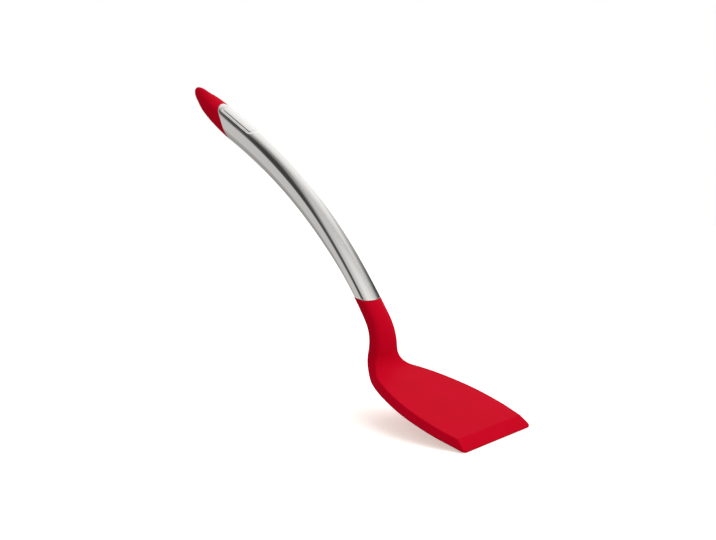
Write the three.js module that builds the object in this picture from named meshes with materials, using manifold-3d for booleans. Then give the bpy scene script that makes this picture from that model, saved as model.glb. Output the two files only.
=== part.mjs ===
// Kitchen turner: a bent hollow steel handle with a red silicone blade at one end and a red
// silicone beak at the other. Each silicone part is moulded over a stiff nylon core, and the
// core's tang is bonded into the open end of the steel tube.
//
// Lengths are millimetres and angles are degrees. The tool is drawn with its blade level: the
// front edge runs along Y, X points out over the front edge and Z is up. It is then tipped
// nose-down on its front edge, as it stands in use.
import * as THREE from 'three';
import { mergeVertices } from 'three/addons/utils/BufferGeometryUtils.js';
import Module from 'manifold-3d';

const wasm = await Module();
wasm.setup();

// Blade
const BLADE_LENGTH = 92;
const BLADE_THICKNESS = 5.3;
const FRONT_EDGE_WIDTH = 75;
const BLADE_WIDTH = 79.3;
const WIDEST_SHARE = 0.3;
const WAIST_WIDTH = 71.4;
const WAIST_SHARE = 0.68;
const HEEL_WIDTH = 48.3;
const FRONT_EDGE_THICKNESS = 1;
const BEVEL_LENGTH = 9;
const SIDE_BEVEL = 3.3;
const SIDE_LIP = 0.8;
const FRONT_CORNER_RADIUS = 3.3;

// Middle line behind the blade, each angle measured up from the blade's plane
const HEEL_BEND_RADIUS = 15.2;
const NECK_ANGLE = 73.6;
const NECK_STRAIGHT = 4.5;
const SHOULDER_BEND_RADIUS = 35.7;
const GRIP_START_ANGLE = 41.5;
const GRIP_LENGTH = 171.6;
const GRIP_END_ANGLE = 11.2;
const TAIL_LENGTH = 56.4;
const TIP_ANGLE = 19.9;

// Sections across the middle line
const BEND_WIDTH = 34.4;
const NECK_WIDTH = 21.9;
const NECK_HEIGHT = 12.1;
const COLLAR_WIDTH = 19.9;
const COLLAR_HEIGHT = 11.5;
const GRIP_WIDTH = 19.1;
const GRIP_HEIGHT = 14.5;
const TAIL_WIDTH = 19.8;
const TAIL_HEIGHT = 16.4;
const BEAK_WIDTH = 17.4;
const BEAK_HEIGHT = 13.3;
const TIP_WIDTH = 7.6;
const TIP_HEIGHT = 7.8;
const NECK_CREASE_SHARE = 0.83;
const TAIL_CREASE_SHARE = 0.78;
const CREASE_ROUND = 2;
const BLADE_CREASE_ROUND = 0.5;
const CROWN_SHARE = 0.17;
const WIDEST_DROP_SHARE = 0.15;
const BELLY_FLAT_SHARE = 0.1;
const BELLY_FULLNESS = 0.6;

// Steel tube
const COLLAR_SETBACK = 16.2;
const COLLAR_SLANT = 44;
const TAIL_SLANT = 61;
const BEAK_LENGTH = 41.2;
const TUBE_WALL = 0.8;
const STAMP_LENGTH = 34;
const STAMP_WIDTH = 12.6;
const STAMP_CORNER = 3;
const STAMP_DEPTH = 0.3;
const STAMP_MARGIN = 4;

// Nylon cores and how they fit
const CLEARANCE = 0.3;
const BLADE_SKIN = 1.2;
const BLADE_SKIN_MARGIN = 6;
const NECK_SKIN = 2.2;
const CORE_SETBACK = 15;
const KEY_HOLE_DIAMETER = 7;
const KEY_HOLE_PITCH = 18;
const KEY_HOLE_ROWS = 3;
const TANG_WALL = 1.6;
const TANG_RIBS = 4;
const RIB_WIDTH = 2.4;
const RIB_FLANK = 0.6;
const RIB_PITCH = 9;
const BEAK_SKIN = 2;
const BEAK_NOSE = 14;

// Pose
const BLADE_TILT = 16.2;

// Facets
const CROWN_STEPS = 4;
const CREASE_STEPS = 3;
const BELLY_STEPS = 5;
const CORNER_FACETS = 4;
const NOSE_FACETS = 6;
const BLADE_SPACING = 8;
const GRIP_SPACING = 12;
const BEAK_SPACING = 5;
const BEND_STEP = 9;
const HOLE_FACETS = 16;
const EDGE_STEPS = 8;

const RED = new THREE.Color(0xc2102c);
const STEEL = new THREE.Color(0xc6c2bd);
const NYLON = new THREE.Color(0x2c2c2e);

const rad = THREE.MathUtils.degToRad;

// Middle line of the whole tool, from the front edge to the tip of the beak, as X and Z.
function bend(path, radius, from, to) {
  const rising = to > from;
  const side = rising ? 1 : -1;
  const start = path.currentPoint;
  const centreX = start.x + side * radius * Math.sin(rad(from));
  const centreZ = start.y + side * radius * Math.cos(rad(from));
  const turn = (angle) => -side * Math.PI / 2 - rad(angle);
  path.absarc(centreX, centreZ, radius, turn(from), turn(to), rising);
}
function arch(path, length, from, to) {
  bend(path, length / rad(Math.abs(to - from)), from, to);
}

const spine = new THREE.Path();
spine.moveTo(0, BLADE_THICKNESS / 2);
spine.lineTo(-BLADE_LENGTH, BLADE_THICKNESS / 2);
bend(spine, HEEL_BEND_RADIUS, 0, NECK_ANGLE);
spine.lineTo(
  spine.currentPoint.x - NECK_STRAIGHT * Math.cos(rad(NECK_ANGLE)),
  spine.currentPoint.y + NECK_STRAIGHT * Math.sin(rad(NECK_ANGLE)),
);
bend(spine, SHOULDER_BEND_RADIUS, NECK_ANGLE, GRIP_START_ANGLE);
arch(spine, GRIP_LENGTH, GRIP_START_ANGLE, GRIP_END_ANGLE);
arch(spine, TAIL_LENGTH, GRIP_END_ANGLE, TIP_ANGLE);

// Distances along the middle line, from the front edge.
const heelEnd = BLADE_LENGTH + HEEL_BEND_RADIUS * rad(NECK_ANGLE);
const heelMiddle = (BLADE_LENGTH + heelEnd) / 2;
const shoulderStart = heelEnd + NECK_STRAIGHT;
const shoulderEnd = shoulderStart + SHOULDER_BEND_RADIUS * rad(NECK_ANGLE - GRIP_START_ANGLE);
const gripEnd = shoulderEnd + GRIP_LENGTH;
const tipEnd = gripEnd + TAIL_LENGTH;
const neckMiddle = (shoulderStart + shoulderEnd) / 2;
const collar = shoulderEnd + COLLAR_SETBACK;
const beakStart = tipEnd - BEAK_LENGTH;
const gripMiddle = (collar + beakStart) / 2;
const tailFullest = beakStart - TAIL_HEIGHT / 2;
const beakMiddle = tipEnd - BEAK_LENGTH / 2;
const noseStart = tipEnd - TIP_HEIGHT;

// Smooth curve through [distance, value] pairs that never swings past a value.
function fair(pairs) {
  const slope = pairs.map((pair, i) => {
    if (i === 0 || i === pairs.length - 1) return 0;
    const before = (pair[1] - pairs[i - 1][1]) / (pair[0] - pairs[i - 1][0]);
    const after = (pairs[i + 1][1] - pair[1]) / (pairs[i + 1][0] - pair[0]);
    return before * after <= 0 ? 0 : 2 * before * after / (before + after);
  });
  return (s) => {
    const inner = pairs.slice(1, -1);
    const i = inner.filter((pair) => pair[0] <= s).length;
    const span = pairs[i + 1][0] - pairs[i][0];
    const t = THREE.MathUtils.clamp((s - pairs[i][0]) / span, 0, 1);
    const rise = pairs[i + 1][1] - pairs[i][1];
    const lean = slope[i] * (1 - t) - slope[i + 1] * t;
    return pairs[i][1] + rise * t * t * (3 - 2 * t) + lean * span * t * (1 - t);
  };
}

const fullWidth = fair([
  [0, FRONT_EDGE_WIDTH],
  [BLADE_LENGTH * WIDEST_SHARE, BLADE_WIDTH],
  [BLADE_LENGTH * WAIST_SHARE, WAIST_WIDTH],
  [BLADE_LENGTH, HEEL_WIDTH],
  [heelMiddle, BEND_WIDTH],
  [neckMiddle, NECK_WIDTH],
  [collar, COLLAR_WIDTH],
  [gripMiddle, GRIP_WIDTH],
  [tailFullest, TAIL_WIDTH],
  [beakMiddle, BEAK_WIDTH],
  [tipEnd, TIP_WIDTH],
]);
const fullHeight = fair([
  [0, BLADE_THICKNESS],
  [BLADE_LENGTH, BLADE_THICKNESS],
  [neckMiddle, NECK_HEIGHT],
  [collar, COLLAR_HEIGHT],
  [gripMiddle, GRIP_HEIGHT],
  [tailFullest, TAIL_HEIGHT],
  [beakMiddle, BEAK_HEIGHT],
  [tipEnd, TIP_HEIGHT],
]);
const bladeShare = fair([[BLADE_LENGTH, 1], [neckMiddle, 0]]);
const creaseShare = fair([[collar, NECK_CREASE_SHARE], [tailFullest, TAIL_CREASE_SHARE]]);

// Place on the middle line: its point, the way toward the tip, and the way up.
function placeAt(s) {
  const point = spine.getPoint(s / tipEnd);
  const along = spine.getTangent(s / tipEnd);
  return {
    point: new THREE.Vector3(point.x, 0, point.y),
    along: new THREE.Vector3(along.x, 0, along.y),
    up: new THREE.Vector3(along.y, 0, -along.x),
  };
}

// Outline across the tool at one distance. A crowned top ends in a rounded crease on each side, the
// sides slope out and down from the creases to the widest points, and a full belly closes it below.
// Toward the blade the crown and the belly flatten until the creases are the blade's top edges and
// the slopes are its side bevels, which keep their slope and run out where the front bevel is thin.
// The outline is drawn in by side across and by face up and down.
function section(s, side, face) {
  const blade = bladeShare(s);
  const mix = (handleValue, bladeValue) => THREE.MathUtils.lerp(handleValue, bladeValue, blade);
  const corner = Math.max(0, FRONT_CORNER_RADIUS - s);
  const cornerLoss = FRONT_CORNER_RADIUS - Math.sqrt(FRONT_CORNER_RADIUS ** 2 - corner ** 2);
  const nose = Math.sqrt(1 - Math.max(0, (s - noseStart) / TIP_HEIGHT) ** 2);
  const bevelDrop = (BLADE_THICKNESS - FRONT_EDGE_THICKNESS) * Math.max(0, 1 - s / BEVEL_LENGTH);
  const outerHalf = nose * (fullWidth(s) / 2 - cornerLoss);
  const outerRise = nose * fullHeight(s) / 2;
  const outerTop = outerRise - bevelDrop;
  const outerCrown = mix(CROWN_SHARE * outerRise, 0);
  const outerLip = Math.min(SIDE_LIP, (outerTop + outerRise) / 2);
  const sideBevel = SIDE_BEVEL * (1 - bevelDrop / (BLADE_THICKNESS - outerLip));
  const outerCrease = mix(creaseShare(s) * outerHalf, outerHalf - sideBevel);
  const round = Math.min(mix(CREASE_ROUND, BLADE_CREASE_ROUND), outerCrease / 3);
  const bow = outerCrown / (outerCrease - round) ** 2;
  const outerWidest = mix(-WIDEST_DROP_SHARE * outerRise, outerLip - outerRise);
  const lean = (outerHalf - outerCrease) / (outerTop - outerCrown - outerWidest);

  const top = outerTop - face;
  const bottom = face - outerRise;
  const widest = Math.max(outerWidest, bottom + Math.min(SIDE_LIP, (top - bottom) / 2));
  const half = outerHalf - side - lean * (widest - outerWidest);
  const creaseX = outerCrease - side + lean * face;
  const crownX = Math.max(creaseX - round, creaseX / 2);
  const crown = bow * crownX ** 2;
  const creaseZ = top - crown - 2 * bow * crownX * (creaseX - crownX);
  const slope = new THREE.Vector2(half - creaseX, widest - creaseZ);
  slope.setLength(Math.min(round, slope.length() / 2));
  const bellyX = mix(BELLY_FLAT_SHARE * half, half - SIDE_LIP);
  const bellyReach = bellyX + (half - bellyX) * BELLY_FULLNESS;
  const bellyDrop = widest - (widest - bottom) * BELLY_FULLNESS;

  const crownLine = new THREE.QuadraticBezierCurve(
    new THREE.Vector2(-crownX, top - crown),
    new THREE.Vector2(0, top + crown),
    new THREE.Vector2(crownX, top - crown),
  );
  const creaseLine = new THREE.QuadraticBezierCurve(
    new THREE.Vector2(crownX, top - crown),
    new THREE.Vector2(creaseX, creaseZ),
    new THREE.Vector2(creaseX, creaseZ).add(slope),
  );
  const bellyLine = new THREE.CubicBezierCurve(
    new THREE.Vector2(half, widest),
    new THREE.Vector2(half, bellyDrop),
    new THREE.Vector2(bellyReach, bottom),
    new THREE.Vector2(bellyX, bottom),
  );
  const crownPoints = crownLine.getPoints(CROWN_STEPS).slice(1, -1);
  const right = [...creaseLine.getPoints(CREASE_STEPS), ...bellyLine.getPoints(BELLY_STEPS)];
  const left = right.map((p) => new THREE.Vector2(-p.x, p.y)).reverse();
  const place = placeAt(s);
  return [...crownPoints, ...right, ...left].map((p) => (
    new THREE.Vector3(0, p.x, 0).add(place.point).addScaledVector(place.up, p.y)
  ));
}

// Distances at which outlines are drawn, closer together where the tool bends or tapers.
const marks = [0];
function markUpTo(end, spacing) {
  const start = marks[marks.length - 1];
  const count = Math.max(1, Math.ceil((end - start) / spacing));
  for (let i = 1; i <= count; i += 1) marks.push(start + (end - start) * i / count);
}
markUpTo(FRONT_CORNER_RADIUS, FRONT_CORNER_RADIUS / CORNER_FACETS);
markUpTo(BEVEL_LENGTH, BEVEL_LENGTH);
markUpTo(BLADE_LENGTH * WIDEST_SHARE, BLADE_SPACING);
markUpTo(BLADE_LENGTH * WAIST_SHARE, BLADE_SPACING);
markUpTo(BLADE_LENGTH, BLADE_SPACING);
markUpTo(heelEnd, HEEL_BEND_RADIUS * rad(BEND_STEP));
markUpTo(shoulderEnd, SHOULDER_BEND_RADIUS * rad(BEND_STEP));
markUpTo(gripEnd, GRIP_SPACING);
markUpTo(beakStart, GRIP_SPACING);
markUpTo(noseStart, BEAK_SPACING);
for (let i = 1; i < NOSE_FACETS; i += 1) {
  marks.push(noseStart + TIP_HEIGHT * Math.sin(i / NOSE_FACETS * Math.PI / 2));
}

// Solid drawn through the outlines between two distances. The shrink is a pair [side, face] that
// may change along the way, and extra lists more distances at which an outline is wanted.
function loft(from, to, shrink, extra = []) {
  const between = [...marks, ...extra].filter((s) => s > from && s < to);
  const stops = [from, ...between.sort((a, b) => a - b), to];
  const rings = stops.map((s) => section(s, ...shrink(s)));
  const count = rings[0].length;
  const points = rings.flat();
  const faces = [];
  for (let i = 0; i + 1 < rings.length; i += 1) {
    for (let j = 0; j < count; j += 1) {
      const a = i * count + j;
      const b = i * count + (j + 1) % count;
      faces.push(a, b, a + count, b, b + count, a + count);
    }
  }
  const last = (rings.length - 1) * count;
  for (let j = 1; j + 1 < count; j += 1) {
    faces.push(0, j + 1, j);
    faces.push(last, last + j, last + j + 1);
  }
  const geometry = new THREE.BufferGeometry().setFromPoints(points);
  geometry.setIndex(faces);
  return solid(geometry);
}

function solid(geometry) {
  const bare = geometry.clone();
  bare.deleteAttribute('normal');
  bare.deleteAttribute('uv');
  const welded = mergeVertices(bare);
  const mesh = new wasm.Mesh({
    numProp: 3,
    vertProperties: new Float32Array(welded.attributes.position.array),
    triVerts: new Uint32Array(welded.index.array),
  });
  return new wasm.Manifold(mesh);
}

function named(name, body, color, roughness, metalness) {
  const data = body.getMesh();
  const geometry = new THREE.BufferGeometry();
  geometry.setAttribute('position', new THREE.BufferAttribute(data.vertProperties, 3));
  geometry.setIndex(new THREE.BufferAttribute(data.triVerts, 1));
  const faceted = geometry.toNonIndexed();
  faceted.computeVertexNormals();
  const mesh = new THREE.Mesh(faceted, new THREE.MeshStandardMaterial({ color, roughness, metalness }));
  mesh.name = name;
  return mesh;
}

// Everything on one side of a slanted plane across the tool. The plane leans by slant from square
// to the middle line, and toward is 1 for the beak's side of it and -1 for the blade's side.
function beyond(s, slant, toward, gap) {
  const place = placeAt(s);
  const facing = place.along.clone().multiplyScalar(Math.cos(rad(slant)));
  facing.addScaledVector(place.up, Math.sin(rad(slant))).multiplyScalar(toward);
  const across = new THREE.Vector3(0, 1, 0);
  const third = facing.clone().cross(across);
  const size = 2 * tipEnd;
  const box = new THREE.BoxGeometry(size, size, size);
  const centre = place.point.clone().addScaledVector(facing, size / 2 + gap);
  box.applyMatrix4(new THREE.Matrix4().makeBasis(facing, across, third).setPosition(centre));
  return solid(box);
}
const collarReach = COLLAR_HEIGHT * Math.tan(rad(COLLAR_SLANT));
const tailReach = TAIL_HEIGHT * Math.tan(rad(TAIL_SLANT));
const plain = () => [0, 0];
const evenly = (amount) => () => [amount, amount];

// Steel tube: drawn and bent from one piece, crowned above and below, cut on the slant at both
// ends so its top edge runs out farther than its underside. A long round-cornered panel is stamped
// into the crown and left bare, a margin short of where the crown ends at the beak.
//
// The crown's end is the distance along at which its top line reaches that slanted cut.
function crownEnd() {
  const cut = placeAt(beakStart);
  let s = beakStart;
  for (let i = 0; i < EDGE_STEPS; i += 1) {
    const here = placeAt(s);
    const crown = here.point.addScaledVector(here.up, fullHeight(s) / 2).sub(cut.point);
    s += crown.dot(cut.up) * Math.tan(rad(TAIL_SLANT)) - crown.dot(cut.along);
  }
  return s;
}

function stampedPanel() {
  const place = placeAt(crownEnd() - STAMP_MARGIN - STAMP_LENGTH / 2);
  const cornerX = STAMP_LENGTH / 2 - STAMP_CORNER;
  const cornerY = STAMP_WIDTH / 2 - STAMP_CORNER;
  const outline = new THREE.Shape();
  [[1, -1], [1, 1], [-1, 1], [-1, -1]].forEach(([end, side], i) => {
    const turn = (i - 1) * Math.PI / 2;
    outline.absarc(end * cornerX, side * cornerY, STAMP_CORNER, turn, turn + Math.PI / 2);
  });
  const pad = new THREE.ExtrudeGeometry(outline, {
    depth: TAIL_HEIGHT,
    bevelEnabled: false,
    curveSegments: CORNER_FACETS,
  });
  const across = place.up.clone().cross(place.along);
  pad.applyMatrix4(new THREE.Matrix4().makeBasis(place.along, across, place.up).setPosition(place.point));
  return solid(pad);
}

function makeTube() {
  const from = collar - collarReach;
  const to = Math.min(noseStart, beakStart + tailReach);
  const outside = loft(from, to, plain);
  const inside = loft(from - TUBE_WALL, to + TUBE_WALL, evenly(TUBE_WALL));
  const stamp = stampedPanel().subtract(loft(gripMiddle, to, evenly(STAMP_DEPTH)));
  return outside.subtract(inside)
    .subtract(beyond(collar, COLLAR_SLANT, -1, 0))
    .subtract(beyond(beakStart, -TAIL_SLANT, 1, 0))
    .subtract(stamp);
}

// Ribs on a tang: over each rib the section swells until it nearly fills the tube, with sloped
// flanks that lead it in.
function ribMarks(start, way) {
  const ribs = [];
  for (let i = 0; i < TANG_RIBS; i += 1) ribs.push(start + way * i * RIB_PITCH);
  return ribs;
}
function ribEdges(ribs) {
  const foot = RIB_WIDTH / 2 + RIB_FLANK;
  return ribs.flatMap((rib) => [rib - foot, rib - RIB_WIDTH / 2, rib + RIB_WIDTH / 2, rib + foot]);
}
function ribShrink(ribs, body) {
  return (s) => {
    const away = Math.min(...ribs.map((rib) => Math.abs(s - rib)));
    const share = THREE.MathUtils.clamp((away - RIB_WIDTH / 2) / RIB_FLANK, 0, 1);
    return THREE.MathUtils.lerp(TUBE_WALL + CLEARANCE, body, share);
  };
}

// Blade core: a thin nylon plate in the blade that thickens through the heel into a solid neck and
// ends in a hollow ribbed tang. Key holes in the plate let the silicone join through it.
const bladeMargin = fair([[BLADE_LENGTH, BLADE_SKIN_MARGIN], [neckMiddle, NECK_SKIN]]);
const bladeSkin = fair([[BLADE_LENGTH, BLADE_SKIN], [neckMiddle, NECK_SKIN]]);
const tangRibs = ribMarks(collar + collarReach + RIB_PITCH / 2, 1);
const tangEnd = tangRibs[TANG_RIBS - 1] + RIB_PITCH / 2;

function keyHoles(radius) {
  const posts = [];
  for (let row = 0; row < KEY_HOLE_ROWS; row += 1) {
    const s = CORE_SETBACK + KEY_HOLE_PITCH * (row + 0.5);
    const reach = fullWidth(s) / 2 - BLADE_SKIN_MARGIN - KEY_HOLE_DIAMETER;
    const shift = row % 2 / 2;
    const steps = Math.floor(reach / KEY_HOLE_PITCH - shift);
    for (let column = -steps - 2 * shift; column <= steps; column += 1) {
      const post = new THREE.CylinderGeometry(radius, radius, BLADE_THICKNESS - BLADE_SKIN, HOLE_FACETS);
      post.rotateX(Math.PI / 2);
      post.translate(-s, (column + shift) * KEY_HOLE_PITCH, BLADE_THICKNESS / 2);
      posts.push(solid(post));
    }
  }
  return wasm.Manifold.union(posts);
}

function makeBladeCore() {
  const body = ribShrink(tangRibs, NECK_SKIN + CLEARANCE);
  const inSkin = (s) => [bladeMargin(s) + CLEARANCE, bladeSkin(s) + CLEARANCE];
  const inTube = (s) => [body(s), body(s)];
  const shrink = (s) => (s < collar ? inSkin(s) : inTube(s));
  const plate = loft(CORE_SETBACK + CLEARANCE, tangEnd, shrink, ribEdges(tangRibs));
  const pocket = loft(tangRibs[0], tangEnd + TANG_WALL, evenly(NECK_SKIN + CLEARANCE + TANG_WALL));
  return plate.subtract(keyHoles(KEY_HOLE_DIAMETER / 2)).subtract(pocket);
}

// Blade skin: soft red silicone over the whole core, bevelled to a thin front edge, rounded along
// the sides and flush with the steel where it meets the slanted end of the tube.
function makeBladeSkin() {
  const outside = loft(0, collar + collarReach, plain);
  const room = loft(CORE_SETBACK, collar + 2 * collarReach, (s) => [bladeMargin(s), bladeSkin(s)]);
  const bridges = keyHoles(KEY_HOLE_DIAMETER / 2 - CLEARANCE);
  return outside.subtract(beyond(collar, COLLAR_SLANT, 1, -CLEARANCE)).subtract(room.subtract(bridges));
}

// Beak core: a nylon plug whose hollow ribbed tang fills the tail of the tube.
const plugRibs = ribMarks(beakStart - tailReach - RIB_PITCH / 2, -1);
const plugStart = plugRibs[TANG_RIBS - 1] - RIB_PITCH / 2;
const plugEnd = tipEnd - BEAK_NOSE;

function makeBeakCore() {
  const body = ribShrink(plugRibs, BEAK_SKIN + CLEARANCE);
  const plug = loft(plugStart, plugEnd - CLEARANCE, (s) => [body(s), body(s)], ribEdges(plugRibs));
  const pocket = loft(plugStart - TANG_WALL, plugRibs[0], evenly(BEAK_SKIN + CLEARANCE + TANG_WALL));
  return plug.subtract(pocket);
}

// Beak skin: soft red silicone that carries the handle's shape on from the slanted end of the tube
// and tapers to a small rounded tip.
function makeBeakSkin() {
  const outside = loft(beakStart - tailReach, marks[marks.length - 1], plain);
  const room = loft(beakStart - 2 * tailReach, plugEnd, evenly(BEAK_SKIN));
  return outside.subtract(beyond(beakStart, -TAIL_SLANT, -1, -CLEARANCE)).subtract(room);
}

const turner = new THREE.Group();
turner.name = 'turner';
turner.add(
  named('handle_tube', makeTube(), STEEL, 0.32, 1),
  named('blade_core', makeBladeCore(), NYLON, 0.6, 0),
  named('blade_skin', makeBladeSkin(), RED, 0.5, 0),
  named('beak_core', makeBeakCore(), NYLON, 0.6, 0),
  named('beak_skin', makeBeakSkin(), RED, 0.5, 0),
);
turner.rotation.y = rad(BLADE_TILT);

// The finished part stands on the floor, centred over the origin.
const part = new THREE.Group();
part.name = 'spatula_turner';
part.add(turner);
part.updateMatrixWorld(true);
const extent = new THREE.Box3().setFromObject(turner, true);
turner.position.set(-(extent.min.x + extent.max.x) / 2, 0, -extent.min.z);

export default part;
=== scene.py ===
import functools
import math

import bmesh
import bpy
from mathutils import Matrix, Vector


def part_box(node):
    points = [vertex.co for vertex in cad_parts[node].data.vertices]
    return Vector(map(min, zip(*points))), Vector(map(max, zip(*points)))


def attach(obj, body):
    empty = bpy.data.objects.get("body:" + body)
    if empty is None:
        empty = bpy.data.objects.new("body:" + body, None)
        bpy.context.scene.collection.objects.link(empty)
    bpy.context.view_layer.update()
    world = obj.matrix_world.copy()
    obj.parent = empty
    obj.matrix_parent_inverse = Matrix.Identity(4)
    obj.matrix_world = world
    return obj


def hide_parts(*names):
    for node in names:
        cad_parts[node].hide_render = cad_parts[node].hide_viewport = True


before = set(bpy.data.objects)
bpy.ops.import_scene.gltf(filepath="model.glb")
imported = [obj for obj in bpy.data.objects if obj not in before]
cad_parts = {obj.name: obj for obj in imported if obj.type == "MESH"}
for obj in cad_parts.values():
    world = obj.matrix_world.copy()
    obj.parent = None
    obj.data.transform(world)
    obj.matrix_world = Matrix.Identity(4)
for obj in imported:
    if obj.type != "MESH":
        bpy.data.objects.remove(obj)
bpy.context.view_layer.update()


# Blade: satin red silicone, moulded in one skin over the nylon core. It runs from the bevelled front
# edge over the waisted blade, turns up at the heel into the cranked neck, and ends in a slanted seam
# against the steel. Inside is the room that the core fills.
BLADE_LENGTH = 0.092
BLADE_THICKNESS = 0.0053
FRONT_EDGE_WIDTH = 0.075
BLADE_WIDTH = 0.0793
WIDEST_SHARE = 0.3
WAIST_WIDTH = 0.0714
WAIST_SHARE = 0.68
HEEL_WIDTH = 0.048
FRONT_EDGE_THICKNESS = 0.001
FRONT_EDGE_ROUND = 0.0003
FRONT_CORNER_RADIUS = 0.0033
BEVEL_LENGTH = 0.009
BEVEL_ROUND = 0.0008
SIDE_BEVEL = 0.0033
SIDE_LIP = 0.0008
BLADE_CREASE_ROUND = 0.0005
BLADE_TILT = math.radians(16.2)

HEEL_BEND_RADIUS = 0.0152
NECK_ANGLE = math.radians(73.6)
NECK_STRAIGHT = 0.0045
SHOULDER_BEND_RADIUS = 0.0357
GRIP_START_ANGLE = math.radians(41.5)
GRIP_LENGTH = 0.1716
GRIP_END_ANGLE = math.radians(11.2)
TAIL_LENGTH = 0.0564
TIP_ANGLE = math.radians(19.9)

BEND_WIDTH = 0.0348
NECK_WIDTH, NECK_HEIGHT = 0.0222, 0.0121
COLLAR_WIDTH, COLLAR_HEIGHT = 0.0199, 0.0115
GRIP_WIDTH, GRIP_HEIGHT = 0.0191, 0.0145
TAIL_WIDTH, TAIL_HEIGHT = 0.0198, 0.0164
BEAK_WIDTH, BEAK_HEIGHT = 0.0174, 0.0133
TIP_WIDTH, TIP_HEIGHT = 0.0076, 0.0078
NECK_CREASE_SHARE = 0.9
TAIL_CREASE_SHARE = 0.78
NECK_CREASE_ROUND = 0.003
GRIP_CREASE_ROUND = 0.002
CREASE_ROUND_SHARE = 0.42
CROWN_SHARE = 0.17
WIDEST_DROP_SHARE = 0.15
BELLY_FLAT_SHARE = 0.1
BELLY_FULLNESS = 0.6

COLLAR_SETBACK = 0.0162
COLLAR_SLANT = math.radians(44)
BEAK_LENGTH = 0.0412
NOSE_LENGTH = 0.0075
SEAM_GAP = 0.0003
BLADE_SKIN = 0.0012
BLADE_SKIN_MARGIN = 0.0056
NECK_SKIN = 0.0018
CORE_SETBACK = 0.015

# Runs of the middle line, from the front edge to the tip: how long each is and the angle it ends at.
heel_length = HEEL_BEND_RADIUS * NECK_ANGLE
shoulder_length = SHOULDER_BEND_RADIUS * (NECK_ANGLE - GRIP_START_ANGLE)
middle_runs = [
    (BLADE_LENGTH, 0),
    (heel_length, NECK_ANGLE),
    (NECK_STRAIGHT, NECK_ANGLE),
    (shoulder_length, GRIP_START_ANGLE),
    (GRIP_LENGTH, GRIP_END_ANGLE),
    (TAIL_LENGTH, TIP_ANGLE),
]
heel_end = BLADE_LENGTH + heel_length
heel_middle = (BLADE_LENGTH + heel_end) / 2
shoulder_start = heel_end + NECK_STRAIGHT
shoulder_end = shoulder_start + shoulder_length
tip_end = shoulder_end + GRIP_LENGTH + TAIL_LENGTH
neck_middle = (shoulder_start + shoulder_end) / 2
collar = shoulder_end + COLLAR_SETBACK
beak_start = tip_end - BEAK_LENGTH
beak_middle = tip_end - BEAK_LENGTH / 2
grip_middle = (collar + beak_start) / 2
tail_fullest = beak_start - TAIL_HEIGHT / 2
nose_start = tip_end - TIP_HEIGHT

# The front edge stands on the floor, and the blade leans nose-down on it.
front_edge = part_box("blade_skin")[1].x - FRONT_EDGE_THICKNESS * math.sin(BLADE_TILT)
standing = Matrix.Translation((front_edge, 0, 0)) @ Matrix.Rotation(BLADE_TILT, 4, "Y")


@functools.lru_cache(maxsize=None)
def place_at(s):
    """Place on the middle line at a distance from the front edge: -X runs on to the tip, Z is up."""
    x, z, angle = 0, BLADE_THICKNESS / 2, 0
    for length, end_angle in middle_runs:
        step = min(s, length)
        turn = (end_angle - angle) * step / length
        if turn:
            x -= (math.sin(angle + turn) - math.sin(angle)) * step / turn
            z += (math.cos(angle) - math.cos(angle + turn)) * step / turn
        else:
            x -= step * math.cos(angle)
            z += step * math.sin(angle)
        angle += turn
        s -= step
        if s <= 0:
            break
    return standing @ Matrix.Translation((x, 0, z)) @ Matrix.Rotation(angle, 4, "Y")


def fair(*stops):
    """Smooth curve through (distance, value) stops that never swings past a value."""
    slopes = [0]
    for (s0, v0), (s1, v1), (s2, v2) in zip(stops, stops[1:], stops[2:]):
        before = (v1 - v0) / (s1 - s0)
        after = (v2 - v1) / (s2 - s1)
        slope = before + (after - before) * (s1 - s0) / (s2 - s0)
        limit = 3 * min(abs(before), abs(after))
        slopes.append(min(max(slope, -limit), limit) if before * after > 0 else 0)
    slopes.append(0)

    def value(s):
        i = sum(stop[0] <= s for stop in stops[1:-1])
        (s0, v0), (s1, v1) = stops[i], stops[i + 1]
        t = min(max((s - s0) / (s1 - s0), 0), 1)
        lean = slopes[i] * (1 - t) - slopes[i + 1] * t
        return v0 + (v1 - v0) * t * t * (3 - 2 * t) + lean * (s1 - s0) * t * (1 - t)

    return value


full_width = fair(
    (0, FRONT_EDGE_WIDTH),
    (BLADE_LENGTH * WIDEST_SHARE, BLADE_WIDTH),
    (BLADE_LENGTH * WAIST_SHARE, WAIST_WIDTH),
    (BLADE_LENGTH, HEEL_WIDTH),
    (heel_middle, BEND_WIDTH),
    (neck_middle, NECK_WIDTH),
    (collar, COLLAR_WIDTH),
    (grip_middle, GRIP_WIDTH),
    (tail_fullest, TAIL_WIDTH),
    (beak_middle, BEAK_WIDTH),
    (tip_end, TIP_WIDTH),
)
full_height = fair(
    (0, BLADE_THICKNESS),
    (BLADE_LENGTH, BLADE_THICKNESS),
    (neck_middle, NECK_HEIGHT),
    (collar, COLLAR_HEIGHT),
    (grip_middle, GRIP_HEIGHT),
    (tail_fullest, TAIL_HEIGHT),
    (beak_middle, BEAK_HEIGHT),
    (tip_end, TIP_HEIGHT),
)
blade_share = fair((BLADE_LENGTH, 1), (neck_middle, 0))
crease_share = fair((collar, NECK_CREASE_SHARE), (tail_fullest, TAIL_CREASE_SHARE))
crease_round = fair((collar, NECK_CREASE_ROUND), (grip_middle, GRIP_CREASE_ROUND))


def corner_loss(radius, s):
    """How far a round corner of that radius draws in at a distance from its edge."""
    short = max(0, radius - s)
    return radius - math.sqrt(radius**2 - short**2)


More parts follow.
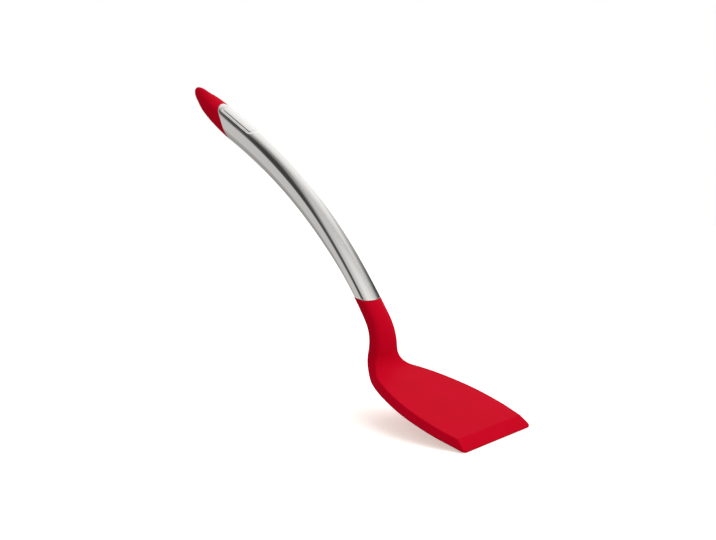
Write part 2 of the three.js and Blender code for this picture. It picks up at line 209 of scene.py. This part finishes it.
def bevel_drop(s):
    """How far the front bevel lies below the top of the blade, with its upper corner rounded."""
    slope = (BLADE_THICKNESS - FRONT_EDGE_THICKNESS) / BEVEL_LENGTH
    left = BEVEL_LENGTH - s
    if abs(left) < BEVEL_ROUND:
        return slope * (left + BEVEL_ROUND) ** 2 / (4 * BEVEL_ROUND)
    return slope * max(0, left)


NEARLY_ZERO = 1e-6


@functools.lru_cache(maxsize=None)
def section(s, side, face):
    """Curves of half the outline across the tool, from the top of the crown round to the bottom.

    The crowned top ends in a rounded crease, the side slopes out to the widest point, and a full
    belly closes it below. On the blade the crown is flat and the slope is the bevelled side. The
    outline is drawn in by side across and by face up and down.
    """
    blade = blade_share(s)

    def mix(on_handle, on_blade):
        return on_handle + (on_blade - on_handle) * blade

    nose = math.sqrt(1 - min(1, max(0, (s - nose_start) / NOSE_LENGTH)) ** 2)
    edge_loss = corner_loss(FRONT_EDGE_ROUND, s)
    outer_half = nose * full_width(s) / 2 - corner_loss(FRONT_CORNER_RADIUS, s)
    outer_rise = nose * full_height(s) / 2
    outer_top = outer_rise - bevel_drop(s) - edge_loss
    outer_bottom = edge_loss - outer_rise
    outer_crown = mix(CROWN_SHARE * outer_rise, 0)
    outer_lip = min(SIDE_LIP, (outer_top - outer_bottom) / 2)
    side_bevel = SIDE_BEVEL * (1 - bevel_drop(s) / (BLADE_THICKNESS - outer_lip))
    outer_crease = mix(crease_share(s) * outer_half, outer_half - side_bevel)
    rounding = min(mix(crease_round(s), BLADE_CREASE_ROUND), CREASE_ROUND_SHARE * outer_crease)
    bow = outer_crown / max(outer_crease - rounding, NEARLY_ZERO) ** 2
    outer_widest = mix(-WIDEST_DROP_SHARE * outer_rise, outer_lip + outer_bottom)
    lean = (outer_half - outer_crease) / max(outer_top - outer_crown - outer_widest, NEARLY_ZERO)

    top = outer_top - face
    bottom = outer_bottom + face
    widest = max(outer_widest, bottom + min(SIDE_LIP, (top - bottom) / 2))
    half = outer_half - side - lean * (widest - outer_widest)
    crease_x = outer_crease - side + lean * face
    crown_x = max(crease_x - rounding, crease_x / 2)
    crown = bow * crown_x**2
    crease_z = top - crown - 2 * bow * crown_x * (crease_x - crown_x)
    corner = Vector((crease_x, crease_z))
    slope = Vector((half, widest)) - corner
    side_start = corner + slope * min(rounding / max(slope.length, NEARLY_ZERO), 0.5)
    belly_x = mix(BELLY_FLAT_SHARE * half, half - SIDE_LIP)
    belly_reach = belly_x + (half - belly_x) * BELLY_FULLNESS
    belly_drop = widest - (widest - bottom) * BELLY_FULLNESS

    crown_edge = Vector((crown_x, top - crown))
    widest_point = Vector((half, widest))
    belly_edge = Vector((belly_x, bottom))
    return (
        (Vector((0, top)), Vector((crown_x / 2, top)), crown_edge),
        (crown_edge, corner, side_start),
        (side_start, widest_point),
        (widest_point, Vector((half, belly_drop)), Vector((belly_reach, bottom)), belly_edge),
        (belly_edge, Vector((0, bottom))),
    )


def bezier(points, share):
    """Point on the curve that these control points shape."""
    while len(points) > 1:
        points = [a.lerp(b, share) for a, b in zip(points, points[1:])]
    return points[0]


def ring_lines(crown, crease, side, belly, flat):
    """Lines that run along a piece, as (curve, share along it, hand) in order round the outline.

    Each curve of half the outline has its own number of lines.
    """
    steps = (crown, crease, side, belly, flat)
    half = [(curve, i / count) for curve, count in enumerate(steps) for i in range(count)]
    half.append((len(steps) - 1, 1))
    right = [(curve, share, 1) for curve, share in half]
    left = [(curve, share, -1) for curve, share in reversed(half[1:-1])]
    return right + left


def line_point(line, s, shrink):
    """Point of one line at a distance along: across and up from the middle line."""
    curve, share, hand = line
    y, z = bezier(section(s, *shrink)[curve], share)
    return Vector((0, hand * y, z))


REACH_STEPS = 12


def reach(line, start, slant, gap, shrink):
    """Distance at which a line meets the plane that leans across the middle line, a gap from start."""
    place = place_at(start)
    square_to_cut = place.to_3x3() @ Vector((-math.cos(slant), 0, math.sin(slant)))
    s = start
    for _ in range(REACH_STEPS):
        point = place_at(s) @ line_point(line, s, shrink(s))
        s -= ((point - place.translation).dot(square_to_cut) - gap) / math.cos(slant)
    return s


def evenly(start, end, spacing):
    """Distances from start up to, but without, end."""
    count = max(1, round((end - start) / spacing))
    return [start + (end - start) * i / count for i in range(count)]


def square_rows(lines, distances):
    """Rows that lie square across the tool."""
    return [[s] * len(lines) for s in distances]


def slanted_rows(starts, ends, count):
    """Rows that change from one set of distances along the lines to another."""
    return [[a + (b - a) * i / count for a, b in zip(starts, ends)] for i in range(count + 1)]


def ring_edges(mesh, ring):
    """Edges of a closed ring of corners."""
    return [mesh.edges.get((a, b)) for a, b in zip(ring, ring[1:] + ring[:1])]


def drawn_out(mesh, ring):
    """Ring of corners drawn out from this one by a band of faces, in the same order."""
    made = bmesh.ops.extrude_edge_only(mesh, edges=ring_edges(mesh, ring))["geom"]
    fresh = {v for v in made if isinstance(v, bmesh.types.BMVert)}
    return [next(e.other_vert(v) for e in v.link_edges if e.other_vert(v) in fresh) for v in ring]


def close_band(mesh, one, other):
    """Closes the gap between two rings with a band of faces, corner to corner."""
    bmesh.ops.weld_verts(mesh, targetmap=dict(zip(drawn_out(mesh, one), other)))


def skin_over(mesh, lines, rows, shrink, dip=None):
    """Surface drawn through the rows, and its first and last ring of corners.

    Each corner also keeps its place on the tool before bending: along, across and up.
    """
    unbent = mesh.verts.layers.float_vector["unbent"]
    ring = bmesh.ops.create_circle(mesh, segments=len(lines), radius=1)["verts"]
    first = ring
    for number, row in enumerate(rows):
        if number:
            ring = drawn_out(mesh, ring)
        for corner, line, s in zip(ring, lines, row):
            point = line_point(line, s, shrink(s))
            if dip:
                point.z -= dip(s, point.y, line)
            corner.co = place_at(s) @ point
            corner[unbent] = (s, point.y, point.z)
    return first, ring


def new_mesh():
    """Empty mesh whose corners can keep their unbent place."""
    mesh = bmesh.new()
    mesh.verts.layers.float_vector.new("unbent")
    return mesh


def finish_piece(name, mesh, material, node):
    """Makes the closed mesh a smooth piece that stands for a node and moves with the tool."""
    bmesh.ops.recalc_face_normals(mesh, faces=mesh.faces)
    data = bpy.data.meshes.new(name)
    mesh.to_mesh(data)
    mesh.free()
    data.shade_smooth()
    data.materials.append(material)
    piece = bpy.data.objects.new(name, data)
    bpy.context.scene.collection.objects.link(piece)
    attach(piece, "root")
    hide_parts(node)


def add_node(tree, kind, **sockets):
    """Adds a shader node and sets or links its inputs, with _ for a space in a name."""
    node = tree.nodes.new("ShaderNode" + kind)
    for name, value in sockets.items():
        socket = node.inputs[name.replace("_", " ")]
        if isinstance(value, bpy.types.NodeSocket):
            tree.links.new(value, socket)
        else:
            socket.default_value = value
    return node


def ramp(tree, factor, *stops):
    """Colours or greys that a factor runs through, as (position, colour) stops."""
    node = add_node(tree, "ValToRGB", Fac=factor)
    elements = node.color_ramp.elements
    while len(elements) < len(stops):
        elements.new(0.5)
    for element, (position, colour) in zip(elements, stops):
        element.position = position
        element.color = (*colour, 1)
    return node.outputs["Color"]


def spread(tree, value, low, high):
    """Value from 0 to 1 spread over a range."""
    return add_node(tree, "MapRange", Value=value, To_Min=low, To_Max=high).outputs["Result"]


RED_DEEP, RED_LIGHT = (0.58, 0.001, 0.015), (0.62, 0.0016, 0.019)


def silicone():
    """Satin red silicone: a faint cloudiness, a fine moulded grain and a soft gloss."""
    material = bpy.data.materials.new("red_silicone")
    material.use_nodes = True
    tree = material.node_tree
    shader = tree.nodes["Principled BSDF"]
    place = add_node(tree, "TexCoord").outputs["Object"]
    clouds = add_node(tree, "TexNoise", Vector=place, Scale=55, Detail=4).outputs["Fac"]
    grain = add_node(tree, "TexNoise", Vector=place, Scale=2600, Detail=2).outputs["Fac"]
    tone = ramp(tree, clouds, (0.3, RED_DEEP), (0.7, RED_LIGHT))
    tree.links.new(tone, shader.inputs["Base Color"])
    tree.links.new(spread(tree, clouds, 0.46, 0.58), shader.inputs["Roughness"])
    bump = add_node(tree, "Bump", Height=grain, Strength=0.04, Distance=0.0001)
    tree.links.new(bump.outputs["Normal"], shader.inputs["Normal"])
    shader.inputs["Specular IOR Level"].default_value = 0.006
    return material


red_silicone = silicone()

blade_lines = ring_lines(crown=18, crease=5, side=6, belly=8, flat=12)


def no_shrink(s):
    """Leaves the outline as it is, for an outer surface."""
    return (0, 0)


blade_margin = fair((BLADE_LENGTH, BLADE_SKIN_MARGIN), (neck_middle, NECK_SKIN))
blade_wall = fair((BLADE_LENGTH, BLADE_SKIN), (neck_middle, NECK_SKIN))


def blade_room(s):
    """Draws the outline in by the skin, for the room that the core fills."""
    return (blade_margin(s), blade_wall(s))


def blade_seam(shrink):
    """Distances at which the blade's lines end, a gap short of the steel."""
    return [reach(line, collar, COLLAR_SLANT, -SEAM_GAP, shrink) for line in blade_lines]


CORNER_ROWS = 12
NECK_ROWS = 34
BEVEL_SPACING = 0.001
BEVEL_ROUND_SPACING = 0.0002
BLADE_SPACING = 0.002
HEEL_SPACING = 0.0007

front_rows = [
    FRONT_CORNER_RADIUS * (1 - math.cos(math.pi / 2 * i / CORNER_ROWS)) for i in range(CORNER_ROWS)
]
blade_rows = [
    *front_rows,
    *evenly(FRONT_CORNER_RADIUS, BEVEL_LENGTH - BEVEL_ROUND, BEVEL_SPACING),
    *evenly(BEVEL_LENGTH - BEVEL_ROUND, BEVEL_LENGTH + BEVEL_ROUND, BEVEL_ROUND_SPACING),
    *evenly(BEVEL_LENGTH + BEVEL_ROUND, BLADE_LENGTH, BLADE_SPACING),
    *evenly(BLADE_LENGTH, heel_end, HEEL_SPACING),
]
neck_start = [heel_end] * len(blade_lines)

blade_mesh = new_mesh()
outer_rows = square_rows(blade_lines, blade_rows)
outer_rows += slanted_rows(neck_start, blade_seam(no_shrink), NECK_ROWS)
front, seam = skin_over(blade_mesh, blade_lines, outer_rows, no_shrink)
room_rows = square_rows(blade_lines, evenly(CORE_SETBACK, heel_end, BLADE_SPACING))
room_rows += slanted_rows(neck_start, blade_seam(blade_room), NECK_ROWS)
room_end, room_seam = skin_over(blade_mesh, blade_lines, room_rows, blade_room)
close_band(blade_mesh, seam, room_seam)
bmesh.ops.contextual_create(blade_mesh, geom=ring_edges(blade_mesh, front))
bmesh.ops.contextual_create(blade_mesh, geom=ring_edges(blade_mesh, room_end))
finish_piece("silicone_blade", blade_mesh, red_silicone, "blade_skin")


# Handle: a hollow tube of brushed stainless steel, arched and crowned, cut on the slant at both ends.
# A long round-cornered panel is pressed into the crown beside the beak. It is plain, with a fine line
# round it.
TUBE_WALL = 0.0008
TAIL_SLANT = math.radians(61)
RIM_ROUND = 0.00035
RIM_ZONE = 0.0008
PANEL_LENGTH = 0.034
PANEL_WIDTH = 0.0126
PANEL_CORNER = 0.003
PANEL_MARGIN = 0.004
PANEL_DEPTH = 0.0002
PANEL_WALL = 0.0004
LINE_INSET = 0.0018
LINE_WIDTH = 0.0016
LINE_DEPTH = 0.0002

CREASE_CURVE = 1
handle_lines = ring_lines(crown=36, crease=14, side=6, belly=10, flat=2)
crown_line = handle_lines[0]


def tube_wall(s):
    """Draws the outline in by the wall, for the inside of the tube."""
    return (TUBE_WALL, TUBE_WALL)


def collar_end(shrink, inset=0):
    """Distances at which the tube's lines meet the slanted cut at the neck, or a row inset from it."""
    return [reach(line, collar, COLLAR_SLANT, inset, shrink) for line in handle_lines]


def tail_end(shrink, inset=0):
    """Distances at which the tube's lines meet the slanted cut at the beak, or a row inset from it."""
    return [reach(line, beak_start, -TAIL_SLANT, -inset, shrink) for line in handle_lines]


panel_end = reach(crown_line, beak_start, -TAIL_SLANT, 0, no_shrink) - PANEL_MARGIN
panel_middle = panel_end - PANEL_LENGTH / 2


def ease(t):
    """Smooth step from 0 to 1."""
    t = min(max(t, 0), 1)
    return t * t * (3 - 2 * t)


def panel_dip(s, y, line):
    """Depth of the pressed panel below the crown, with the fine line that runs round inside it."""
    if line[0] > CREASE_CURVE:
        return 0
    along = abs(s - panel_middle) - PANEL_LENGTH / 2 + PANEL_CORNER
    across = abs(y) - PANEL_WIDTH / 2 + PANEL_CORNER
    inside = PANEL_CORNER - math.hypot(max(along, 0), max(across, 0)) - min(max(along, across), 0)
    groove = 1 - abs(inside - LINE_INSET) / (LINE_WIDTH / 2)
    return PANEL_DEPTH * ease(inside / PANEL_WALL) + LINE_DEPTH * ease(groove)


STEEL_DULL, STEEL_BRIGHT = (0.50, 0.49, 0.47), (0.54, 0.53, 0.515)
# Lighter steel colour painted on the cut rims as a highlight.
STEEL_RIM_HIGHLIGHT = (0.76, 0.73, 0.7)


def steel():
    """Brushed stainless steel, with its grain drawn along the handle and a painted highlight on its cut
    rims, where the colour is lighter.
    """
    material = bpy.data.materials.new("brushed_steel")
    material.use_nodes = True
    tree = material.node_tree
    shader = tree.nodes["Principled BSDF"]
    unbent = add_node(tree, "Attribute")
    unbent.attribute_name = "unbent"
    place = unbent.outputs["Vector"]
    drawn = add_node(tree, "Mapping", Vector=place, Scale=(8, 2600, 2600)).outputs["Vector"]
    streaks = add_node(tree, "TexNoise", Vector=drawn, Scale=1, Detail=3).outputs["Fac"]
    clouds = add_node(tree, "TexNoise", Vector=place, Scale=60, Detail=3).outputs["Fac"]
    # Painted highlight: corners on the cut rims carry 1, which lifts the colour to the lighter rim
    # tone.
    rim_highlight = add_node(tree, "Attribute")
    rim_highlight.attribute_name = "rim_highlight"
    bright = add_node(tree, "Math")
    bright.operation = "MAXIMUM"
    tree.links.new(streaks, bright.inputs[0])
    tree.links.new(rim_highlight.outputs["Fac"], bright.inputs[1])
    tones = (0.25, STEEL_DULL), (0.8, STEEL_BRIGHT), (1, STEEL_RIM_HIGHLIGHT)
    tree.links.new(ramp(tree, bright.outputs[0], *tones), shader.inputs["Base Color"])
    tree.links.new(spread(tree, clouds, 0.12, 0.16), shader.inputs["Roughness"])
    bump = add_node(tree, "Bump", Height=streaks, Strength=0.006, Distance=0.00005)
    tree.links.new(bump.outputs["Normal"], shader.inputs["Normal"])
    shader.inputs["Metallic"].default_value = 1
    return material


COLLAR_ROWS = 20
PANEL_ROWS = 200
PANEL_INNER_ROWS = 12
GRIP_SPACING = 0.002
RIM_STEPS = 3

grip_start = collar + COLLAR_HEIGHT
panel_start = panel_end - PANEL_LENGTH - PANEL_CORNER
at_grip = [grip_start] * len(handle_lines)
at_panel = [panel_start] * len(handle_lines)


def tube_rows(shrink, panel_rows):
    """Rows from the slanted collar along the grip to the slanted tail."""
    rows = [collar_end(shrink), *slanted_rows(collar_end(shrink, RIM_ZONE), at_grip, COLLAR_ROWS)]
    rows += square_rows(handle_lines, evenly(grip_start, panel_start, GRIP_SPACING)[1:])
    return [*rows, *slanted_rows(at_panel, tail_end(shrink, RIM_ZONE), panel_rows), tail_end(shrink)]


handle_mesh = new_mesh()
rim_highlight = handle_mesh.verts.layers.float.new("rim_highlight")
outer_rows = tube_rows(no_shrink, PANEL_ROWS)
outer_ends = skin_over(handle_mesh, handle_lines, outer_rows, no_shrink, panel_dip)
inner_rows = tube_rows(tube_wall, PANEL_INNER_ROWS)
inner_ends = skin_over(handle_mesh, handle_lines, inner_rows, tube_wall)
rims = []
for outer, inner in zip(outer_ends, inner_ends):
    close_band(handle_mesh, outer, inner)
    rims += ring_edges(handle_mesh, outer) + ring_edges(handle_mesh, inner)
    # Painted highlight: the rim corners are marked for the lighter rim colour.
    for corner in outer + inner:
        corner[rim_highlight] = 1
bmesh.ops.recalc_face_normals(handle_mesh, faces=handle_mesh.faces)
bmesh.ops.bevel(
    handle_mesh,
    geom=rims,
    offset=RIM_ROUND,
    segments=RIM_STEPS,
    profile=0.5,
    affect="EDGES",
    material=-1,
)
finish_piece("steel_handle", handle_mesh, steel(), "handle_tube")


# Beak: the same red silicone at the tail, carrying the handle's shape on from the slanted seam and
# tapering to a small rounded tip. It is moulded over a plug that fills the end of the tube.
BEAK_SKIN = 0.002
BEAK_NOSE = 0.014
NOSE_ROWS = 16
BEAK_ROWS = 40
PLUG_ROWS = 12

beak_lines = ring_lines(crown=14, crease=8, side=6, belly=10, flat=2)


def beak_room(s):
    """Draws the outline in by the skin, for the room that the plug fills."""
    return (BEAK_SKIN, BEAK_SKIN)


def beak_seam(shrink):
    """Distances at which the beak's lines start, a gap beyond the steel."""
    return [reach(line, beak_start, -TAIL_SLANT, SEAM_GAP, shrink) for line in beak_lines]


nose_rows = [
    nose_start + NOSE_LENGTH * math.sin(math.pi / 2 * i / NOSE_ROWS) for i in range(1, NOSE_ROWS + 1)
]
at_nose = [nose_start] * len(beak_lines)
at_plug_end = [tip_end - BEAK_NOSE] * len(beak_lines)

beak_mesh = new_mesh()
skin_rows = slanted_rows(beak_seam(no_shrink), at_nose, BEAK_ROWS)
skin_rows += square_rows(beak_lines, nose_rows)
seam, tip = skin_over(beak_mesh, beak_lines, skin_rows, no_shrink)
bmesh.ops.pointmerge(beak_mesh, verts=tip, merge_co=tip[0].co)
room_rows = slanted_rows(beak_seam(beak_room), at_plug_end, PLUG_ROWS)
room_seam, room_end = skin_over(beak_mesh, beak_lines, room_rows, beak_room)
bmesh.ops.contextual_create(beak_mesh, geom=ring_edges(beak_mesh, room_end))
close_band(beak_mesh, seam, room_seam)
finish_piece("silicone_beak", beak_mesh, red_silicone, "beak_skin")


# Cores: black moulded nylon inside the two silicone skins, with ribbed tangs bonded into the tube.
# None of it shows on the finished tool.
NYLON_DARK, NYLON_LIGHT = (0.024, 0.024, 0.026), (0.036, 0.036, 0.038)


def nylon():
    """Matt black nylon with a moulded grain."""
    material = bpy.data.materials.new("black_nylon")
    material.use_nodes = True
    tree = material.node_tree
    shader = tree.nodes["Principled BSDF"]
    place = add_node(tree, "TexCoord").outputs["Object"]
    grain = add_node(tree, "TexNoise", Vector=place, Scale=1500, Detail=2).outputs["Fac"]
    tone = ramp(tree, grain, (0.3, NYLON_DARK), (0.7, NYLON_LIGHT))
    tree.links.new(tone, shader.inputs["Base Color"])
    tree.links.new(spread(tree, grain, 0.5, 0.7), shader.inputs["Roughness"])
    return material


black_nylon = nylon()
for core in ("blade_core", "beak_core"):
    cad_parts[core].material_slots[0].material = black_nylon


# Studio: pale paper that runs out to white, a large soft lamp overhead and a weak one facing the blade.
# The steel mirrors a bright screen behind it, a glow at the right, a long black cloth overhead, a black
# card low behind, a grey card low under the tail and the dark room behind the camera.
FLOOR_SIZE = 1.4
FLOOR_GAP = 0.0002
FLOOR_GLOW = (0.53, 0.455, 0.415)
PAPER, DULL_PAPER = (0.96, 0.96, 0.96), (0.5, 0.5, 0.5)
SKY = 0.5
LAMP_PLACE, LAMP_SIZE, LAMP_POWER = Vector((0.36, 0.75, 1.42)), 2.2, 19
FILL_PLACE, FILL_SIZE, FILL_POWER = Vector((1.1, 0.1, 0.45)), 0.8, 2.2
SCREEN_PLACE, SCREEN_SIZE, SCREEN_GLOW = Vector((-0.54, 1.16, 0.88)), 3.2, 1.6
GLOW_PLACE, GLOW_SIZE, GLOW_STRENGTH = Vector((1.24, 0.37, 0.63)), 2.11, 1.55
CLOTH_PLACE, CLOTH_WIDTH, CLOTH_LENGTH = Vector((0.03, -1.35, 1.96)), 2.49, 6.57
CLOTH_AIM = Vector((0.135, -0.87, 1.09))
BLACK_CARD_PLACE, BLACK_CARD_SIZE = Vector((0.16, 0.815, 0.116)), 1.1
GREY_CARD_PLACE, GREY_CARD_SIZE = Vector((-0.19, -0.06, 0.002)), 0.6
ROOM_PLACE, ROOM_SIZE = Vector((0.66, -1.936, 0.892)), 2.2
BLACK, GREY = 0.085, 0.58
SHEET_FADE, CLOTH_FADE = 0.6, 0.54
AIM = Vector((0, 0, 0.1))


def stage_sheet(name, material, width, height, place):
    """Flat sheet that belongs to the studio, with its own coordinates from 0 to 1."""
    mesh = bmesh.new()
    mesh.loops.layers.uv.new("sheet")
    bmesh.ops.create_grid(mesh, x_segments=1, y_segments=1, size=0.5, calc_uvs=True)
    bmesh.ops.scale(mesh, vec=(width, height, 1), verts=mesh.verts)
    bmesh.ops.transform(mesh, matrix=place, verts=mesh.verts)
    data = bpy.data.meshes.new(name)
    mesh.to_mesh(data)
    mesh.free()
    data.materials.append(material)
    piece = bpy.data.objects.new(name, data)
    bpy.context.scene.collection.objects.link(piece)
    return piece


def facing(place, aim):
    """Turn of a sheet or lamp at a place so that it faces where it aims."""
    return (aim - place).to_track_quat("-Z", "Y").to_matrix().to_4x4()


def seen_directly(tree):
    """1 for rays that show the background: from the camera, off gloss or through glass."""
    path = add_node(tree, "LightPath").outputs
    either = add_node(tree, "Math")
    either.operation = "MAXIMUM"
    tree.links.new(path["Is Camera Ray"], either.inputs[0])
    tree.links.new(path["Is Glossy Ray"], either.inputs[1])
    every = add_node(tree, "Math")
    every.operation = "MAXIMUM"
    tree.links.new(either.outputs[0], every.inputs[0])
    tree.links.new(path["Is Transmission Ray"], every.inputs[1])
    return every.outputs[0]


def floor_finish():
    """Matt paper that glows enough to run out to white, and still takes a shadow."""
    material = bpy.data.materials.new("white_paper")
    material.use_nodes = True
    tree = material.node_tree
    tree.nodes.clear()
    paper = add_node(tree, "BsdfDiffuse", Color=(*PAPER, 1)).outputs[0]
    dull = add_node(tree, "BsdfDiffuse", Color=(*DULL_PAPER, 1)).outputs[0]
    glow = add_node(tree, "Emission", Color=(*FLOOR_GLOW, 1), Strength=1).outputs[0]
    lit = add_node(tree, "AddShader")
    tree.links.new(paper, lit.inputs[0])
    tree.links.new(glow, lit.inputs[1])
    shown = add_node(tree, "MixShader", Fac=seen_directly(tree))
    tree.links.new(dull, shown.inputs[1])
    tree.links.new(lit.outputs[0], shown.inputs[2])
    add_node(tree, "OutputMaterial", Surface=shown.outputs[0])
    return material


def soft_edged(name, glow, fade):
    """Sheet that is black or glows in the middle and fades away over that share toward its edges."""
    material = bpy.data.materials.new(name)
    material.use_nodes = True
    tree = material.node_tree
    tree.nodes.clear()
    sheet = add_node(tree, "TexCoord").outputs["UV"]
    centred = add_node(tree, "Mapping", Vector=sheet, Location=(-1, -1, 0), Scale=(2, 2, 1)).outputs[0]
    round_fade = add_node(tree, "TexGradient", Vector=centred)
    round_fade.gradient_type = "SPHERICAL"
    body = add_node(tree, "Emission", Strength=glow).outputs[0]
    clear = add_node(tree, "BsdfTransparent").outputs[0]
    cover = ramp(tree, round_fade.outputs["Fac"], (0, (0, 0, 0)), (fade, (1, 1, 1)))
    faded = add_node(tree, "MixShader", Fac=cover)
    tree.links.new(clear, faded.inputs[1])
    tree.links.new(body, faded.inputs[2])
    add_node(tree, "OutputMaterial", Surface=faded.outputs[0])
    return material


def mirrored_sheet(name, glow, place, width, height, aim=AIM, fade=SHEET_FADE):
    """Soft-edged sheet that shows only in the gloss of the tool."""
    turn = Matrix.Translation(place) @ facing(place, aim)
    sheet = stage_sheet(name, soft_edged(name, glow, fade), width, height, turn)
    sheet.visible_camera = False
    sheet.visible_diffuse = False
    sheet.visible_shadow = False


stage_sheet("floor", floor_finish(), FLOOR_SIZE, FLOOR_SIZE, Matrix.Translation((0, 0, -FLOOR_GAP)))
mirrored_sheet("bright_screen", SCREEN_GLOW, SCREEN_PLACE, SCREEN_SIZE, SCREEN_SIZE)
mirrored_sheet("lamp_glow", GLOW_STRENGTH, GLOW_PLACE, GLOW_SIZE, GLOW_SIZE)
mirrored_sheet("black_cloth", BLACK, CLOTH_PLACE, CLOTH_WIDTH, CLOTH_LENGTH, CLOTH_AIM, CLOTH_FADE)
mirrored_sheet("black_card", BLACK, BLACK_CARD_PLACE, BLACK_CARD_SIZE, BLACK_CARD_SIZE)
mirrored_sheet("grey_card", GREY, GREY_CARD_PLACE, GREY_CARD_SIZE, GREY_CARD_SIZE)
mirrored_sheet("dark_room", BLACK, ROOM_PLACE, ROOM_SIZE, ROOM_SIZE)


def add_lamp(name, place, size, power):
    """Soft square lamp that faces the tool and doesn't show in its gloss."""
    data = bpy.data.lights.new(name, "AREA")
    data.size = size
    data.energy = power
    lamp = bpy.data.objects.new(name, data)
    lamp.location = place
    lamp.rotation_euler = facing(place, AIM).to_euler()
    lamp.visible_glossy = False
    bpy.context.scene.collection.objects.link(lamp)


add_lamp("soft_lamp", LAMP_PLACE, LAMP_SIZE, LAMP_POWER)
add_lamp("fill_lamp", FILL_PLACE, FILL_SIZE, FILL_POWER)

world = bpy.data.worlds.new("studio")
world.use_nodes = True
bpy.context.scene.world = world
sky_tree = world.node_tree
sky_tree.nodes.clear()
dim = add_node(sky_tree, "Background", Color=(1, 1, 1, 1), Strength=SKY)
white = add_node(sky_tree, "Background", Color=(1, 1, 1, 1), Strength=1)
sky = add_node(sky_tree, "MixShader", Fac=seen_directly(sky_tree))
sky_tree.links.new(dim.outputs[0], sky.inputs[1])
sky_tree.links.new(white.outputs[0], sky.inputs[2])
add_node(sky_tree, "OutputWorld", Surface=sky.outputs[0])

# Camera: a long lens that looks down a little on the tool, from the side and in front of the blade.
LENS, SENSOR_WIDTH = 90, 36
VIEW_AZIMUTH = math.radians(40.37)
VIEW_ELEVATION = math.radians(13.06)
VIEW_DISTANCE = 1.23813
VIEW_TARGET = Vector((front_edge - 0.12152, 0, 0.09707))

camera_data = bpy.data.cameras.new("camera")
camera_data.lens = LENS
camera_data.sensor_width = SENSOR_WIDTH
camera = bpy.data.objects.new("camera", camera_data)
backward = Vector(
    (
        math.sin(VIEW_AZIMUTH) * math.cos(VIEW_ELEVATION),
        -math.cos(VIEW_AZIMUTH) * math.cos(VIEW_ELEVATION),
        math.sin(VIEW_ELEVATION),
    )
)
camera.location = VIEW_TARGET + backward * VIEW_DISTANCE
camera.rotation_euler = (-backward).to_track_quat("-Z", "Y").to_euler()
bpy.context.scene.collection.objects.link(camera)
bpy.context.scene.camera = camera
bpy.context.scene.view_settings.view_transform = "Standard"
